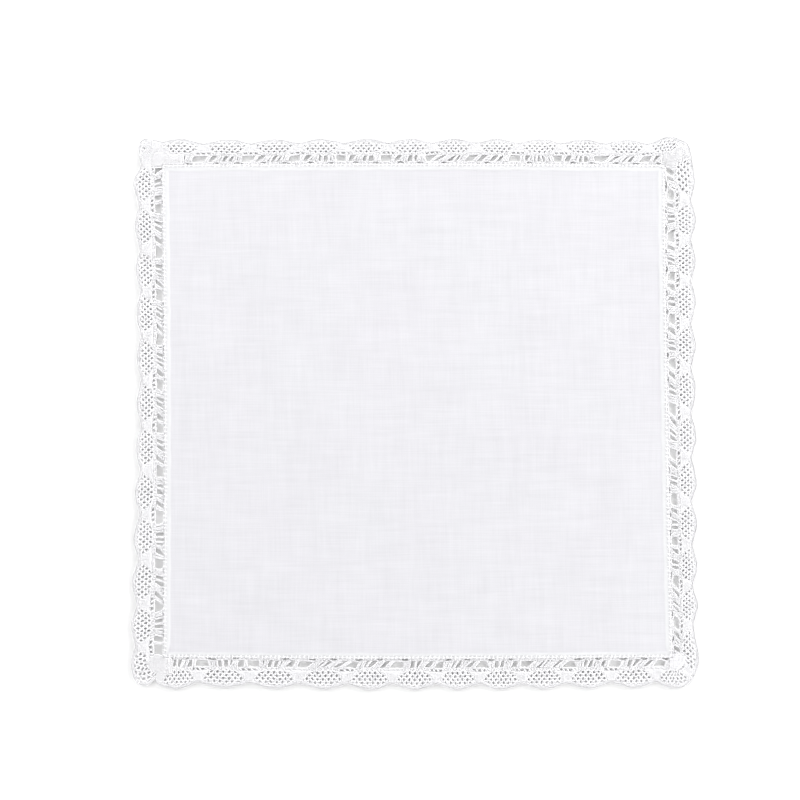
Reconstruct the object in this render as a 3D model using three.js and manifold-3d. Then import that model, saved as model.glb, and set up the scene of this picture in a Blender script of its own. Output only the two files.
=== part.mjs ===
// A handkerchief lying flat: a hemmed square of cotton lawn with one strip of scalloped lace round it.
// Units are millimetres and +Z is up. The underside lies on z = 0, with the origin under the middle.
// The back side has the larger y. The lace runs clockwise as seen from above and starts at the back left.

import * as THREE from 'three';
import { mergeVertices } from 'three/addons/utils/BufferGeometryUtils.js';
import Module from 'manifold-3d';

const wasm = await Module();
wasm.setup();

// ---- Driving dimensions ----

const LAWN_THICKNESS = 1;
const HEM_WIDTH = 2.8;
const HEM_RAMP = 0.5;
const HEM_THICKNESS = 1.4;
const LAWN_CELLS = 22;
const LAWN_UNEVENNESS = 0.12;
const RIPPLE_LENGTHS = { across: 120, up: 160, slanting: 210 };

const SEAM_GAP = 0.3;
const LACE_THICKNESS = 1;
const LACE_DEPTH_AT_VALLEY = 12.5;
const LACE_DEPTH_AT_PEAK = 15;
const VALLEY_EASING = 0.45;
const TRAIL_WIDTH = 1.3;
const TRAIL_THICKNESS = 1.4;
const CORNER_RUN = 20;
const STEPS_PER_SCALLOP = 6;
const FOOTING_STEPS = 12;
const PATCH_STEPS = 4;

// The corners of the hemmed square, which lies a little out of square.
const CORNERS = {
  backLeft: { x: -125.73, y: 123.88 },
  backRight: { x: 124.77, y: 123.88 },
  frontRight: { x: 128.77, y: -121.62 },
  frontLeft: { x: -124.98, y: -121.62 },
};

// The four sides, clockwise from above.
// bow: how far the middle of the hem stands outside a straight line.
// firstValley, lastValley: places of the scallops' valleys, measured from the side's first corner.
// drift, sway: how far the evenly spaced valleys shift along the side, as half and whole sine waves.
// depth: share of the lace's full depth; taper and swell change it along the side.
// gapShift: how far the row of gaps runs ahead of the scallops, as a share of a scallop.
const SIDES = [
  { from: 'backLeft', to: 'backRight', bow: 0.6, firstValley: 20.25, lastValley: 242.5, scallops: 10,
    drift: 3.3, sway: 0.9, depth: 0.85, taper: 0, swell: 0, gapShift: 0.06 },
  { from: 'backRight', to: 'frontRight', bow: -0.5, firstValley: 17.75, lastValley: 230, scallops: 10,
    drift: -0.1, sway: -2.4, depth: 0.975, taper: 0.09, swell: 0, gapShift: 0 },
  { from: 'frontRight', to: 'frontLeft', bow: 0.75, firstValley: 7.75, lastValley: 237, scallops: 10,
    drift: -4.7, sway: 2.2, depth: 1.01, taper: 0, swell: 0.04, gapShift: -0.03 },
  { from: 'frontLeft', to: 'backLeft', bow: -0.75, firstValley: 26.25, lastValley: 225.5, scallops: 9,
    drift: 1, sway: -0.2, depth: 1.035, taper: 0.07, swell: -0.09, gapShift: 0 },
];

// The outline of the lace round each corner, in order, from the last valley of one side to the first
// valley of the next. A row's place is before the corner, at a turn about it (degrees), or after it.
// reach: from the hem to the lace's edge. valley marks the dips between two scallops.
const CORNER_OUTLINES = [
  { corner: 'backRight', patchReach: 7, patchThickness: 1.5, rows: [
    { turn: 0, reach: 14 },
    { turn: 30, reach: 15.3 },
    { turn: 48, reach: 15.75, valley: true },
    { turn: 64, reach: 14.75 },
    { turn: 90, reach: 14.4 },
    { after: 11, reach: 15.05 },
  ] },
  { corner: 'frontRight', patchReach: 7, patchThickness: 1.5, rows: [
    { before: 6, reach: 12.6 },
    { turn: 0, reach: 13.3 },
    { turn: 25, reach: 14.1 },
    { turn: 46, reach: 14.9, valley: true },
    { turn: 68, reach: 16 },
    { turn: 90, reach: 15.5 },
    { after: 4, reach: 14.5 },
  ] },
  { corner: 'frontLeft', patchReach: 8, patchThickness: 1.5, rows: [
    { before: 4, reach: 16 },
    { turn: 10, reach: 14.4, valley: true },
    { turn: 25, reach: 16.2 },
    { turn: 37, reach: 18 },
    { turn: 48, reach: 18.9 },
    { turn: 71, reach: 17.3 },
    { turn: 90, reach: 16.1 },
    { after: 4.75, reach: 14.6, valley: true },
    { after: 15.5, reach: 16.5 },
  ] },
  { corner: 'backLeft', patchReach: 11, patchThickness: 1.9, rows: [
    { before: 9.5, reach: 14.75 },
    { turn: 4, reach: 10.8, valley: true },
    { turn: 28, reach: 13.5 },
    { turn: 37, reach: 15.3 },
    { turn: 56, reach: 15.8 },
    { turn: 73, reach: 13.05, valley: true },
    { turn: 90, reach: 11.75 },
    { after: 6.5, reach: 13.25 },
  ] },
];

// The two widest gaps of each repeat. Places along are shares of a scallop from its first valley.
const GAP_INNER_EDGE = 1.8;
const GAP_OUTER_EDGE = 4.6;
const GAPS = [
  { innerFrom: -0.26, innerTo: 0.02, outerFrom: -0.24, outerTo: 0.06 },
  { innerFrom: 0.06, innerTo: 0.21, outerFrom: 0.11, outerTo: 0.27 },
];

// ---- Places round the hem ----

// Each side's length, direction and outward normal, and where its run starts along the lace.
function layOutSides() {
  let start = 0;
  return SIDES.map((side) => {
    const from = new THREE.Vector2(CORNERS[side.from].x, CORNERS[side.from].y);
    const to = new THREE.Vector2(CORNERS[side.to].x, CORNERS[side.to].y);
    const along = to.clone().sub(from);
    const length = along.length();
    along.normalize();
    const outward = new THREE.Vector2(-along.y, along.x);
    const laidOut = { ...side, from, to, along, outward, length, start };
    start += length + CORNER_RUN;
    return laidOut;
  });
}

const sides = layOutSides();
const RUN_LENGTH = sides.reduce((sum, side) => sum + side.length + CORNER_RUN, 0);

// The point and outward direction on the hem's edge at a distance along the lace.
function hemPlace(distance) {
  const run = (distance + RUN_LENGTH) % RUN_LENGTH;
  const index = sides.findLastIndex((side) => run >= side.start);
  const side = sides[index];
  const along = run - side.start;
  if (along <= side.length) {
    const bow = side.bow * Math.sin(Math.PI * along / side.length);
    const point = side.from.clone().addScaledVector(side.along, along).addScaledVector(side.outward, bow);
    return { point, outward: side.outward.clone() };
  }
  const next = sides[(index + 1) % sides.length];
  const turn = (along - side.length) / CORNER_RUN;
  const fullTurn = Math.acos(side.outward.dot(next.outward));
  const outward = side.outward.clone().rotateAround(new THREE.Vector2(), -turn * fullTurn);
  return { point: side.to.clone(), outward };
}

// ---- Valleys and depth of the lace ----

function smoothWave(share, drift, sway) {
  return drift * Math.sin(Math.PI * share) + sway * Math.sin(2 * Math.PI * share);
}

// The valleys and depths given by one side's formulas.
function sideStations(side) {
  const span = side.lastValley - side.firstValley;
  return Array.from({ length: side.scallops + 1 }, (_, i) => {
    const share = i / side.scallops;
    const along = side.firstValley + span * share + smoothWave(share, side.drift, side.sway);
    const depth = side.depth + side.taper * (1 - 2 * share) + side.swell * Math.sin(Math.PI * share);
    return { at: side.start + along, reach: depth * LACE_DEPTH_AT_VALLEY, valley: true };
  });
}

// The rows of one corner's outline, placed along the lace.
function cornerStations(side, outline) {
  const end = side.start + side.length;
  return outline.rows.map((row) => {
    let at = end + CORNER_RUN + (row.after ?? 0);
    if (row.before !== undefined) at = end - row.before;
    if (row.turn !== undefined) at = end + CORNER_RUN * row.turn / 90;
    return { at, reach: row.reach, valley: row.valley ?? false };
  });
}

// Every valley and outline row, in order along the lace.
const stations = sides.flatMap((side, i) => [
  ...sideStations(side),
  ...cornerStations(side, CORNER_OUTLINES[i]),
]).map((station) => ({ ...station, at: station.at % RUN_LENGTH })).toSorted((a, b) => a.at - b.at);

// The list carried one whole turn to each side, so that it can be read across its ends.
function overlapEnds(rows) {
  const shifted = (turns) => rows.map((row) => ({ ...row, at: row.at + turns * RUN_LENGTH }));
  return [...shifted(-1), ...rows, ...shifted(1)];
}

const valleys = overlapEnds(stations.filter((station) => station.valley)).map((station) => station.at);

// Share of the scallop, 0 at its first valley and 1 at the next, at a distance along the lace.
function scallopShare(distance) {
  const index = valleys.findLastIndex((at) => at <= distance);
  return (distance - valleys[index]) / (valleys[index + 1] - valleys[index]);
}

// Full depth of the lace at a share of the scallop: a sine arch, eased a little where it meets the next.
function fullDepth(share) {
  const arch = Math.sin(Math.PI * share);
  const easedArch = THREE.MathUtils.lerp(arch, arch ** 2, VALLEY_EASING);
  return THREE.MathUtils.lerp(LACE_DEPTH_AT_VALLEY, LACE_DEPTH_AT_PEAK, easedArch);
}

// How full the lace lies at each station: its reach over the depth that its pattern has there.
const fullness = overlapEnds(stations.map((station) => ({
  at: station.at,
  share: station.reach / fullDepth(scallopShare(station.at)),
})));

// Slope through one row that never overshoots its neighbours: zero at a turn, else a weighted mean.
function gentleSlope(rows, index) {
  const before = (rows[index].share - rows[index - 1].share) / (rows[index].at - rows[index - 1].at);
  const after = (rows[index + 1].share - rows[index].share) / (rows[index + 1].at - rows[index].at);
  return before * after <= 0 ? 0 : 2 * before * after / (before + after);
}

// Depth of the lace at a distance along it, as a share of its full depth.
function depthShare(distance) {
  const index = fullness.findLastIndex((row) => row.at <= distance);
  const [left, right] = [fullness[index], fullness[index + 1]];
  const gap = right.at - left.at;
  const t = (distance - left.at) / gap;
  const rise = gentleSlope(fullness, index) * gap;
  const fall = gentleSlope(fullness, index + 1) * gap;
  const change = right.share - left.share;
  return left.share + t * (rise + t * (3 * change - 2 * rise - fall + t * (rise + fall - 2 * change)));
}

// The point at a distance along the lace and a distance out from the hem.
function pointFromHem(distance, out) {
  const place = hemPlace(distance);
  return place.point.addScaledVector(place.outward, out);
}

// Length of the repeat that begins at a valley.
function pitchFrom(valley) {
  return valleys[valleys.indexOf(valley) + 1] - valley;
}

// ---- Solids ----

// The points in the wanted sense of rotation.
function wound(points, clockwise) {
  return THREE.ShapeUtils.isClockWise(points) === clockwise ? points : points.toReversed();
}

function extrude(outline, holes, thickness) {
  const shape = new THREE.Shape(wound(outline, false));
  shape.holes = holes.map((hole) => new THREE.Path(wound(hole, true)));
  return new THREE.ExtrudeGeometry(shape, { depth: thickness, bevelEnabled: false });
}

function toSolid(geometry) {
  const bare = geometry.clone();
  bare.deleteAttribute('normal');
  bare.deleteAttribute('uv');
  const merged = mergeVertices(bare);
  const vertProperties = Float32Array.from(merged.attributes.position.array);
  const triVerts = Uint32Array.from(merged.index.array);
  return new wasm.Manifold(new wasm.Mesh({ numProp: 3, vertProperties, triVerts }));
}

function toGeometry(solid) {
  const mesh = solid.getMesh();
  const geometry = new THREE.BufferGeometry();
  geometry.setAttribute('position', new THREE.BufferAttribute(mesh.vertProperties, 3));
  geometry.setIndex(new THREE.BufferAttribute(mesh.triVerts, 1));
  geometry.computeVertexNormals();
  return geometry;
}

// ---- Cloth panel with its hem ----

// Shares of a length at which the cloth's grid lines lie: close lines at the hem's step, even ones between.
function gridShares(length) {
  const hemLines = [0, HEM_WIDTH, HEM_WIDTH + HEM_RAMP].map((inset) => inset / length);
  const lawnStart = (HEM_WIDTH + HEM_RAMP) / length;
  const lawnCells = LAWN_CELLS - 2 * (hemLines.length - 1);
  const lawnLines = Array.from({ length: lawnCells - 1 }, (_, i) => (
    THREE.MathUtils.lerp(lawnStart, 1 - lawnStart, (i + 1) / lawnCells)
  ));
  return [...hemLines, ...lawnLines, ...hemLines.toReversed().map((share) => 1 - share)];
}

// A point of the cloth at shares across and up it, between its four bowed sides.
function clothPoint(across, up) {
  const [back, right, front, left] = sides;
  const atBack = back.from.clone().lerp(back.to, across);
  const atFront = front.to.clone().lerp(front.from, across);
  const point = atFront.lerp(atBack, up);
  const bowX = Math.sin(Math.PI * up);
  const bowY = Math.sin(Math.PI * across);
  point.x += bowX * (right.bow * across - left.bow * (1 - across));
  point.y += bowY * (back.bow * up - front.bow * (1 - up));
  return point;
}

// Height of the cloth's upper face, where it lies in soft ripples.
function lawnTop(point) {
  const wave = (distance, length) => Math.sin(2 * Math.PI * distance / length);
  const square = wave(point.x, RIPPLE_LENGTHS.across) * wave(point.y, RIPPLE_LENGTHS.up);
  const slanting = wave(point.x + point.y, RIPPLE_LENGTHS.slanting);
  return LAWN_THICKNESS + LAWN_UNEVENNESS * (square + slanting) / 2;
}

function clothPanel() {
  const geometry = new THREE.BoxGeometry(1, 1, 1, LAWN_CELLS, LAWN_CELLS, 1);
  const acrossShares = gridShares(sides[0].length);
  const upShares = gridShares(sides[1].length);
  const position = geometry.attributes.position;
  for (let i = 0; i < position.count; i += 1) {
    const column = Math.round((position.getX(i) + 0.5) * LAWN_CELLS);
    const row = Math.round((position.getY(i) + 0.5) * LAWN_CELLS);
    const point = clothPoint(acrossShares[column], upShares[row]);
    const lineFromEdge = Math.min(column, row, LAWN_CELLS - column, LAWN_CELLS - row);
    const top = lineFromEdge < 2 ? HEM_THICKNESS : lawnTop(point);
    position.setXYZ(i, point.x, point.y, position.getZ(i) > 0 ? top : 0);
  }
  geometry.computeVertexNormals();
  return geometry;
}

// ---- Lace edging ----

// The scalloped edge, or a line a given distance inside it, evenly stepped in each scallop.
function edgeOutline(inset) {
  return valleys.filter((at) => at >= 0 && at < RUN_LENGTH).flatMap((valley) => (
    Array.from({ length: STEPS_PER_SCALLOP }, (_, i) => {
      const share = i / STEPS_PER_SCALLOP;
      const distance = valley + pitchFrom(valley) * share;
      return pointFromHem(distance, fullDepth(share) * depthShare(distance) - inset);
    })
  ));
}

// The edge that is sewn to the hem: it follows the hem a seam's gap away.
function footingOutline() {
  return sides.flatMap((side) => {
    const straight = Array.from({ length: FOOTING_STEPS + 1 }, (_, i) => side.length * i / FOOTING_STEPS);
    const round = [1 / 3, 2 / 3].map((share) => side.length + CORNER_RUN * share);
    return [...straight, ...round].map((along) => pointFromHem(side.start + along, SEAM_GAP));
  });
}

// The gaps beside each valley of one side, kept between its two corners.
function gapOutlines(side) {
  const end = side.start + side.length;
  const ownValleys = valleys.filter((at) => at > side.start && at < end);
  const gaps = ownValleys.flatMap((valley) => GAPS.map((gap) => {
    const place = (share) => valley + (share + side.gapShift) * pitchFrom(valley);
    const keepOnSide = (at) => THREE.MathUtils.clamp(at, side.start + SEAM_GAP, end - SEAM_GAP);
    return {
      middle: (place(gap.innerFrom) + place(gap.outerTo)) / 2,
      inner: [gap.innerFrom, gap.innerTo].map((share) => keepOnSide(place(share))),
      outer: [gap.outerTo, gap.outerFrom].map((share) => keepOnSide(place(share))),
    };
  }));
  return gaps.filter((gap) => gap.middle > side.start && gap.middle < end).map((gap) => [
    ...gap.inner.map((at) => pointFromHem(at, GAP_INNER_EDGE * depthShare(at))),
    ...gap.outer.map((at) => pointFromHem(at, GAP_OUTER_EDGE * depthShare(at))),
  ]);
}

// The doubled or gathered lace about one corner, as a low patch on the strip.
function cornerPatch(side, outline) {
  const end = side.start + side.length;
  const distances = Array.from({ length: PATCH_STEPS + 1 }, (_, i) => end + CORNER_RUN * i / PATCH_STEPS);
  const outer = distances.map((distance) => pointFromHem(distance, outline.patchReach));
  const inner = distances.toReversed().map((distance) => pointFromHem(distance, SEAM_GAP));
  return extrude([...outer, ...inner], [], outline.patchThickness);
}

function laceEdging() {
  const strip = extrude(edgeOutline(0), [footingOutline(), ...sides.flatMap(gapOutlines)], LACE_THICKNESS);
  const trail = extrude(edgeOutline(0), [edgeOutline(TRAIL_WIDTH)], TRAIL_THICKNESS);
  let solid = toSolid(strip).add(toSolid(trail));
  sides.forEach((side, i) => {
    solid = solid.add(toSolid(cornerPatch(side, CORNER_OUTLINES[i])));
  });
  return toGeometry(solid);
}

// ---- The handkerchief ----

const group = new THREE.Group();

const lawn = new THREE.MeshStandardMaterial({ color: 0xf2f1f6, roughness: 0.9, metalness: 0 });
const panel = new THREE.Mesh(clothPanel(), lawn);
panel.name = 'cloth_panel';
group.add(panel);

const laceCotton = new THREE.MeshStandardMaterial({ color: 0xfafafa, roughness: 0.85, metalness: 0 });
const lace = new THREE.Mesh(laceEdging(), laceCotton);
lace.name = 'lace_edging';
group.add(lace);

export default group;
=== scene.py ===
# %% [markdown]
# # A lace-edged handkerchief
# The real object is a square of fine cotton lawn with a narrow turned hem, and one strip of cotton
# lace sewn round it. It lies flat, so almost everything that makes it look real is small: threads
# of half a millimetre, holes of one millimetre, and a hem that stands a tenth of a millimetre above
# the lawn. The solid model is loaded first and stays as it is, because it fixes every size. The
# pieces made here stand for its two solids and show the threads that a solid can't.

import bpy
import numpy as np
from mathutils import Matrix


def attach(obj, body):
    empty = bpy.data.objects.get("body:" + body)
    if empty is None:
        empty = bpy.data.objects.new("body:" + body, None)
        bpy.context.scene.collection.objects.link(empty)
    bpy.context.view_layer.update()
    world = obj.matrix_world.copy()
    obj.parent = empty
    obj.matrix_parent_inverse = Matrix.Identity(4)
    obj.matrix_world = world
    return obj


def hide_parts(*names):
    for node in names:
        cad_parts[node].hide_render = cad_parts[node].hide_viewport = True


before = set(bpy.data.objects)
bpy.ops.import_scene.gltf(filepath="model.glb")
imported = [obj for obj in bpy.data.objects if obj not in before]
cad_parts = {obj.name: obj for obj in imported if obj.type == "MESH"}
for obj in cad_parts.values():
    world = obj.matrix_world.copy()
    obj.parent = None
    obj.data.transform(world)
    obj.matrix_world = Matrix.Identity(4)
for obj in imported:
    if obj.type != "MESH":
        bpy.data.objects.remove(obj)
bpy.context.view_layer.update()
MM = 0.001

# %% [markdown]
# ## The camera
# The handkerchief is seen from straight above. A long lens far away keeps the view almost free of
# perspective, so a millimetre is the same length everywhere in the render. The lens follows from
# similar triangles: the sensor is to the lens as the seen floor is to the height.

# %% Camera straight above
SEEN_FLOOR = 0.400
LOOKS_AT = (-0.0071, 0.0066)
CAMERA_HEIGHT = 1.6
SENSOR_MM = 36

camera_data = bpy.data.cameras.new("camera_above")
camera_data.sensor_width = SENSOR_MM
camera_data.lens = SENSOR_MM * CAMERA_HEIGHT / SEEN_FLOOR
camera = bpy.data.objects.new("camera_above", camera_data)
camera.location = (*LOOKS_AT, CAMERA_HEIGHT)
bpy.context.scene.collection.objects.link(camera)
bpy.context.scene.camera = camera
bpy.context.scene.view_settings.view_transform = "Standard"
print("lens, mm:", round(camera_data.lens, 1))

# %% [markdown]
# ## The light
# White lace on a white table is drawn by its shadows alone. Light from all round and from low down
# does not reach the floor inside a small opening, so the openings turn grey while the open table
# stays white. A ring of wide soft lamps at a low angle does that. One larger lamp at the back left
# gives the edges a lit side and a shaded side.

# %% Soft lamps
# sizes are in metres and powers in watts
RING_LAMPS = 8
RING_RADIUS = 1.3
RING_ELEVATION = np.radians(14)
RING_POWER = 9.2
RING_SIZE = 0.52
BRIGHT_SIDE, BRIGHT_SHARE = np.radians(32), 0.32
KEY_FROM, KEY_SIZE, KEY_POWER = (-0.9, 1.0, 1.3), 0.6, 8.2
SKY_STRENGTH = 0.20


def add_lamp(name, position, size, power):
    """A square lamp that faces the origin: its -Z axis is turned along the way to the middle."""
    lamp = bpy.data.lights.new(name, "AREA")
    lamp.shape, lamp.size, lamp.energy = "SQUARE", size, power
    holder = bpy.data.objects.new(name, lamp)
    holder.location = position
    way = -np.array(position)
    turn = np.arctan2(way[1], way[0]) - np.pi / 2
    tilt = np.arctan2(np.hypot(way[0], way[1]), -way[2])
    holder.rotation_euler = (tilt, 0, turn)
    holder.visible_camera = False
    bpy.context.scene.collection.objects.link(holder)


for number in range(RING_LAMPS):
    angle = 2 * np.pi * (number + 0.5) / RING_LAMPS
    level = RING_RADIUS * np.cos(RING_ELEVATION)
    spot = (level * np.cos(angle), level * np.sin(angle), RING_RADIUS * np.sin(RING_ELEVATION))
    toward_bright = np.cos(angle - BRIGHT_SIDE)
    add_lamp(f"ring_lamp_{number}", spot, RING_SIZE, RING_POWER * (1 + BRIGHT_SHARE * toward_bright))
add_lamp("key_lamp", KEY_FROM, KEY_SIZE, KEY_POWER)

sky = bpy.data.worlds.new("pale_room")
sky.use_nodes = True
sky.node_tree.nodes["Background"].inputs["Color"].default_value = (1.0, 1.0, 1.0, 1.0)
sky.node_tree.nodes["Background"].inputs["Strength"].default_value = SKY_STRENGTH
bpy.context.scene.world = sky
print("lamps:", RING_LAMPS + 1)

# %% [markdown]
# ## Shader maths written as sums
# Patterns such as a weave are formulas. Wiring them node by node is slow to read, so an output
# socket is wrapped in a small class that knows +, - and *. Each sum adds one Math node, and the
# reflected forms let a plain number stand on the left, as in 1 - mask.

# %% A socket that takes part in sums
class Tone:
    """One value that changes over a surface."""

    def __init__(self, finish, socket):
        self.finish, self.socket = finish, socket

    def sum_of(self, operation, *terms):
        """One Math node that works out the operation on its terms."""
        return self.finish.node("ShaderNodeMath", {"operation": operation}, dict(enumerate(terms)))

    def __add__(self, other):
        return self.sum_of("ADD", self, other)

    def __sub__(self, other):
        return self.sum_of("SUBTRACT", self, other)

    def __rsub__(self, other):
        return self.sum_of("SUBTRACT", other, self)

    def __mul__(self, other):
        return self.sum_of("MULTIPLY", self, other)

    def sine(self):
        return self.sum_of("SINE", self)

    def size(self):
        """How far the value is from 0, on either side of it."""
        return self.sum_of("ABSOLUTE", self)

    __radd__, __rmul__ = __add__, __mul__


print("Tone:", Tone.__doc__)

# %% [markdown]
# A finish is a material, and every node of it comes from the method `node`. The other methods name
# the few kinds of node that are wanted more than once, so a finish reads as what it looks like.

# %% A material that is easy to wire
class Finish:
    """A material, its Principled shader, and one method that adds any node to it."""

    def __init__(self, name):
        self.material = bpy.data.materials.new(name)
        self.material.use_nodes = True
        self.nodes = self.material.node_tree.nodes
        self.shader = self.nodes["Principled BSDF"]

    def feed(self, socket, value):
        """Links a Tone to a socket, or sets the socket to a plain value."""
        if isinstance(value, Tone):
            self.material.node_tree.links.new(value.socket, socket)
        else:
            socket.default_value = value

    def node(self, kind, settings, inputs, output=0):
        """Any node: its settings are set first, then its inputs, and one output is returned."""
        made = self.nodes.new(kind)
        for name, value in settings.items():
            setattr(made, name, value)
        for name, value in inputs.items():
            self.feed(made.inputs[name], value)
        return Tone(self, made.outputs[output])

    def set(self, **inputs):
        """Feeds the shader's own sockets: Base_Color stands for the socket Base Color."""
        for name, value in inputs.items():
            self.feed(self.shader.inputs[name.replace("_", " ")], value)

    def object_place(self):
        """The place on the object, in metres."""
        return self.node("ShaderNodeTexCoord", {}, {}, output="Object")

    def own_map(self):
        """The place on the piece's own map, in mm, and then its first and its second number."""
        place = self.node("ShaderNodeUVMap", {"uv_map": "thread_run"}, {})
        first = self.node("ShaderNodeSeparateXYZ", {}, {0: place}, output="X")
        return place, first, Tone(self, first.socket.node.outputs["Y"])

    def own_value(self, name):
        """A value that the piece keeps for each of its points."""
        return self.node("ShaderNodeAttribute", {"attribute_name": name}, {}, output="Fac")

    def smooth_step(self, value, low, high):
        """0 below low, 1 above high, and an S curve between them."""
        settings = {"interpolation_type": "SMOOTHSTEP", "clamp": True}
        return self.node("ShaderNodeMapRange", settings,
                         {"Value": value, "From Min": low, "From Max": high})

    def noise(self, place, scale, detail=2.0, roughness=0.5):
        """Cloudy values about 0.5."""
        return self.node("ShaderNodeTexNoise", {"noise_dimensions": "3D"},
                         {"Vector": place, "Scale": scale, "Detail": detail, "Roughness": roughness})

    def drawn_noise(self, place, scales, detail, roughness):
        """Noise on a place with each axis multiplied, which draws it out along the small scale."""
        drawn = self.node("ShaderNodeVectorMath", {"operation": "MULTIPLY"}, {0: place, 1: scales})
        return self.noise(drawn, 1.0, detail, roughness)

    def blend(self, mask, colour, other):
        """colour where the mask is 0, and other where it is 1. 6, 7 and 2 are the colour sockets."""
        return self.node("ShaderNodeMix", {"data_type": "RGBA"},
                         {"Factor": mask, 6: colour, 7: other}, output=2)

    def shade(self, colour, brightness):
        """A colour multiplied by a brightness near 1."""
        return self.node("ShaderNodeVectorMath", {"operation": "SCALE"},
                         {0: colour, "Scale": brightness})

    def bump(self, height, distance, strength):
        """A slope that is only shaded: height is from 0 to 1, and distance is its size in metres."""
        return self.node("ShaderNodeBump", {},
                         {"Height": height, "Distance": distance, "Strength": strength})


print("Finish:", Finish.__doc__)

# %% [markdown]
# ## The table
# A pale table top is enough. It is not part of the object. A faint cloud
# in its colour keeps it from being one flat tone.

# %% Pale table top
TABLE_HALF = 3.0
TABLE_PALE, TABLE_PALER = (0.92, 0.92, 0.92, 1), (0.935, 0.935, 0.935, 1)

table_finish = Finish("pale_table")
cloud = table_finish.noise(table_finish.object_place(), 6.0)
table_finish.set(
    Base_Color=table_finish.blend(cloud, TABLE_PALE, TABLE_PALER),
    Roughness=0.9,
    Specular_IOR_Level=0.1,
)

table_mesh = bpy.data.meshes.new("pale_table")
square = TABLE_HALF * np.array([(-1, -1, 0), (1, -1, 0), (1, 1, 0), (-1, 1, 0)])
table_mesh.from_pydata(square.tolist(), [], [(0, 1, 2, 3)])
table_mesh.materials.append(table_finish.material)
table = bpy.data.objects.new("pale_table", table_mesh)
bpy.context.scene.collection.objects.link(table)
print("table, m:", 2 * TABLE_HALF)

# %% [markdown]
# ## Where the lace is sewn on
# The lace is one long strip, so its pattern is easiest to say in strip terms: how far along the
# strip, and how far out from the hem. The next cells turn those two numbers into a place on the
# table. They repeat the solid model's own values, so the threads lie where the solid does, to about
# a third of a millimetre.
# A side is a straight line with a slight bow. Round a corner the strip turns about the corner point,
# which gathers its inner part and spreads its outer part, just as eased lace does.

# %% The hemmed square and the run of the strip
CORNER_RUN = 20.0
CORNERS = np.array([(-125.73, 123.88), (124.77, 123.88), (128.77, -121.62), (-124.98, -121.62)])
# how far the middle of each side stands outwards of a straight line
BOWS = np.array([0.6, -0.5, 0.75, -0.75])
SIDE_NAMES = ("back", "right", "front", "left")
BACK, RIGHT, FRONT, LEFT = range(4)

side_ways = np.roll(CORNERS, -1, axis=0) - CORNERS
side_lengths = np.linalg.norm(side_ways, axis=1)
side_ways /= side_lengths[:, None]
side_outward = np.stack([-side_ways[:, 1], side_ways[:, 0]], axis=1)
corner_turns = np.arccos(np.sum(side_outward * np.roll(side_outward, -1, axis=0), axis=1))
side_starts = np.concatenate([[0], np.cumsum(side_lengths + CORNER_RUN)[:-1]])
side_ends = side_starts + side_lengths
RUN_LENGTH = float(np.sum(side_lengths + CORNER_RUN))
print("strip, mm:", round(RUN_LENGTH, 1))


def hem_place(run):
    """Point on the hem's edge and outward direction at a distance along the strip.

    On a side: start point + way * distance + outward * bow * sin(pi * share of the side).
    On a corner: the corner point, with outward turned clockwise in step with the distance.
    """
    run = np.mod(run, RUN_LENGTH)
    side = np.searchsorted(side_starts, run, side="right") - 1
    along = run - side_starts[side]
    length = side_lengths[side]
    on_side = np.minimum(along, length)
    bow = BOWS[side] * np.sin(np.pi * on_side / length)
    outward = side_outward[side]
    point = CORNERS[side] + side_ways[side] * on_side[..., None] + outward * bow[..., None]
    turn = -corner_turns[side] * np.clip((along - length) / CORNER_RUN, 0, 1)
    cos, sin = np.cos(turn), np.sin(turn)
    turned = np.stack([outward[..., 0] * cos - outward[..., 1] * sin,
                       outward[..., 0] * sin + outward[..., 1] * cos], axis=-1)
    return point, turned


# %% [markdown]
# The scallops are not quite even, because lace stretches as it is sewn. Each side lists where its
# first and last valley lie and how the others drift, and each corner lists its own outline. Even
# scallops would be shorter to write, but a repeat that never varies looks printed.

# %% Valleys of the scallops
DEPTH_AT_VALLEY, DEPTH_AT_PEAK, VALLEY_EASING = 12.5, 15.0, 0.45
# first valley, last valley, scallops, drift, sway, depth, taper, swell
SIDE_SCALLOPS = (
    (20.25, 242.5, 10, 3.3, 0.9, 0.85, 0, 0),
    (17.75, 230, 10, -0.1, -2.4, 0.975, 0.09, 0),
    (7.75, 237, 10, -4.7, 2.2, 1.01, 0, 0.04),
    (26.25, 225.5, 9, 1, -0.2, 1.035, 0.07, -0.09),
)
# place past the side's end, how far the lace reaches, and 1 for a valley
CORNER_OUTLINES = (
    ((0, 14, 0), (6.67, 15.3, 0), (10.67, 15.75, 1), (14.22, 14.75, 0), (20, 14.4, 0),
     (31, 15.05, 0)),
    ((-6, 12.6, 0), (0, 13.3, 0), (5.56, 14.1, 0), (10.22, 14.9, 1), (15.11, 16, 0),
     (20, 15.5, 0), (24, 14.5, 0)),
    ((-4, 16, 0), (2.22, 14.4, 1), (5.56, 16.2, 0), (8.22, 18, 0), (10.67, 18.9, 0),
     (15.78, 17.3, 0), (20, 16.1, 0), (24.75, 14.6, 1), (35.5, 16.5, 0)),
    ((-9.5, 14.75, 0), (0.89, 10.8, 1), (6.22, 13.5, 0), (8.22, 15.3, 0), (12.44, 15.8, 0),
     (16.22, 13.05, 1), (20, 11.75, 0), (26.5, 13.25, 0)),
)


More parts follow.
